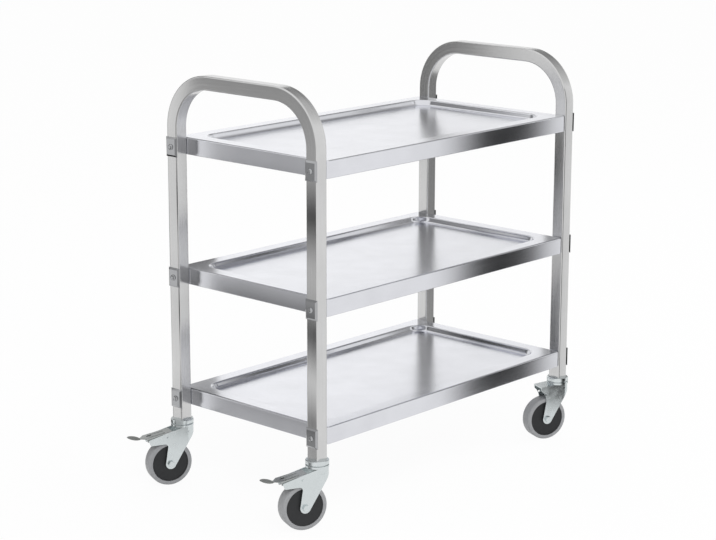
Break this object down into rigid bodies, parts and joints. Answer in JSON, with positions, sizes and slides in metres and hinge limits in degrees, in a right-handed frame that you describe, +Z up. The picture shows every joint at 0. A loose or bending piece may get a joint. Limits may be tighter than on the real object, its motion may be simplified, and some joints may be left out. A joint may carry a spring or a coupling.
{
  "type": "serving cart",
  "caption": "Stainless serving cart with pressed trays between bent tube handles, on swivel casters with foot brakes.",
  "frame": {"origin": "centre of the cart's bounding box on the floor under the wheels; the brake pedals reach out to -X, so the middle of the frame lies a little towards +X and -Y of the origin", "axes": "+X along the cart from the braked end to the other end, +Y across it to the rear, +Z up"},
  "size_m": [0.9862, 0.4924, 0.912],
  "materials": {
    "stainless": "fine brushed",
    "polished_plate": "polished",
    "zinc": "bright zinc plated",
    "socket_plastic": "moulded",
    "wheel_plastic": "fine textured",
    "grey_rubber": "smooth matte",
    "pedal_plastic": "moulded"
  },
  "bodies": {
    "cart": {"left_end_frame": "stainless", "left_washer_plates": "polished_plate", "left_tray_bolts": "polished_plate", "left_tray_nuts": "zinc", "right_end_frame": "stainless", "right_washer_plates": "polished_plate", "right_tray_bolts": "polished_plate", "right_tray_nuts": "zinc", "bottom_tray": "stainless", "bottom_tray_brackets": "stainless", "middle_tray": "stainless", "middle_tray_brackets": "stainless", "top_tray": "stainless", "top_tray_brackets": "stainless", "stem_sockets": "socket_plastic", "swivel_bearings": "zinc", "front_left_stem": "zinc", "front_left_swivel_cup": "zinc", "rear_left_stem": "zinc", "rear_left_swivel_cup": "zinc", "front_right_stem": "zinc", "front_right_swivel_cup": "zinc", "rear_right_stem": "zinc", "rear_right_swivel_cup": "zinc"},
    "front_left_caster": {"front_left_fork": "zinc", "front_left_axle_bolt": "zinc", "front_left_axle_nut": "zinc", "front_left_axle_bush": "zinc", "front_left_pedal_pin": "zinc"},
    "front_left_wheel": {"front_left_wheel_core": "wheel_plastic", "front_left_tyre": "grey_rubber"},
    "front_left_brake": {"front_left_brake_pedal": "zinc", "front_left_pedal_pad": "pedal_plastic", "front_left_brake_shoe": "wheel_plastic"},
    "rear_left_caster": {"rear_left_fork": "zinc", "rear_left_axle_bolt": "zinc", "rear_left_axle_nut": "zinc", "rear_left_axle_bush": "zinc", "rear_left_pedal_pin": "zinc"},
    "rear_left_wheel": {"rear_left_wheel_core": "wheel_plastic", "rear_left_tyre": "grey_rubber"},
    "rear_left_brake": {"rear_left_brake_pedal": "zinc", "rear_left_pedal_pad": "pedal_plastic", "rear_left_brake_shoe": "wheel_plastic"},
    "front_right_caster": {"front_right_fork": "zinc", "front_right_axle_bolt": "zinc", "front_right_axle_nut": "zinc", "front_right_axle_bush": "zinc"},
    "front_right_wheel": {"front_right_wheel_core": "wheel_plastic", "front_right_tyre": "grey_rubber"},
    "rear_right_caster": {"rear_right_fork": "zinc", "rear_right_axle_bolt": "zinc", "rear_right_axle_nut": "zinc", "rear_right_axle_bush": "zinc"},
    "rear_right_wheel": {"rear_right_wheel_core": "wheel_plastic", "rear_right_tyre": "grey_rubber"}
  },
  "joints": [
    {"name": "front_left_swivel", "type": "hinge", "parent": "cart", "child": "front_left_caster", "pos_m": [-0.37472, -0.22116, 0.131], "axis": [0, 0, 1], "continuous": true},
    {"name": "front_left_wheel_spin", "type": "hinge", "parent": "front_left_caster", "child": "front_left_wheel", "pos_m": [-0.40602, -0.20787, 0.05], "axis": [-0.3907, -0.9205, 0], "continuous": true},
    {"name": "front_left_brake_hinge", "type": "hinge", "parent": "front_left_caster", "child": "front_left_brake", "pos_m": [-0.41108, -0.20572, 0.11], "axis": [-0.3907, -0.9205, 0], "range_deg": [0, 10]},
    {"name": "rear_left_swivel", "type": "hinge", "parent": "cart", "child": "rear_left_caster", "pos_m": [-0.37472, 0.18884, 0.131], "axis": [0, 0, 1], "continuous": true},
    {"name": "rear_left_wheel_spin", "type": "hinge", "parent": "rear_left_caster", "child": "rear_left_wheel", "pos_m": [-0.40602, 0.20213, 0.05], "axis": [-0.3907, -0.9205, 0], "continuous": true},
    {"name": "rear_left_brake_hinge", "type": "hinge", "parent": "rear_left_caster", "child": "rear_left_brake", "pos_m": [-0.41108, 0.20428, 0.11], "axis": [-0.3907, -0.9205, 0], "range_deg": [0, 10]},
    {"name": "front_right_swivel", "type": "hinge", "parent": "cart", "child": "front_right_caster", "pos_m": [0.44528, -0.22116, 0.131], "axis": [0, 0, 1], "continuous": true},
    {"name": "front_right_wheel_spin", "type": "hinge", "parent": "front_right_caster", "child": "front_right_wheel", "pos_m": [0.41398, -0.20787, 0.05], "axis": [-0.3907, -0.9205, 0], "continuous": true},
    {"name": "rear_right_swivel", "type": "hinge", "parent": "cart", "child": "rear_right_caster", "pos_m": [0.44528, 0.18884, 0.131], "axis": [0, 0, 1], "continuous": true},
    {"name": "rear_right_wheel_spin", "type": "hinge", "parent": "rear_right_caster", "child": "rear_right_wheel", "pos_m": [0.45965, 0.15803, 0.05], "axis": [0.9063, 0.4226, 0], "continuous": true}
  ]
}
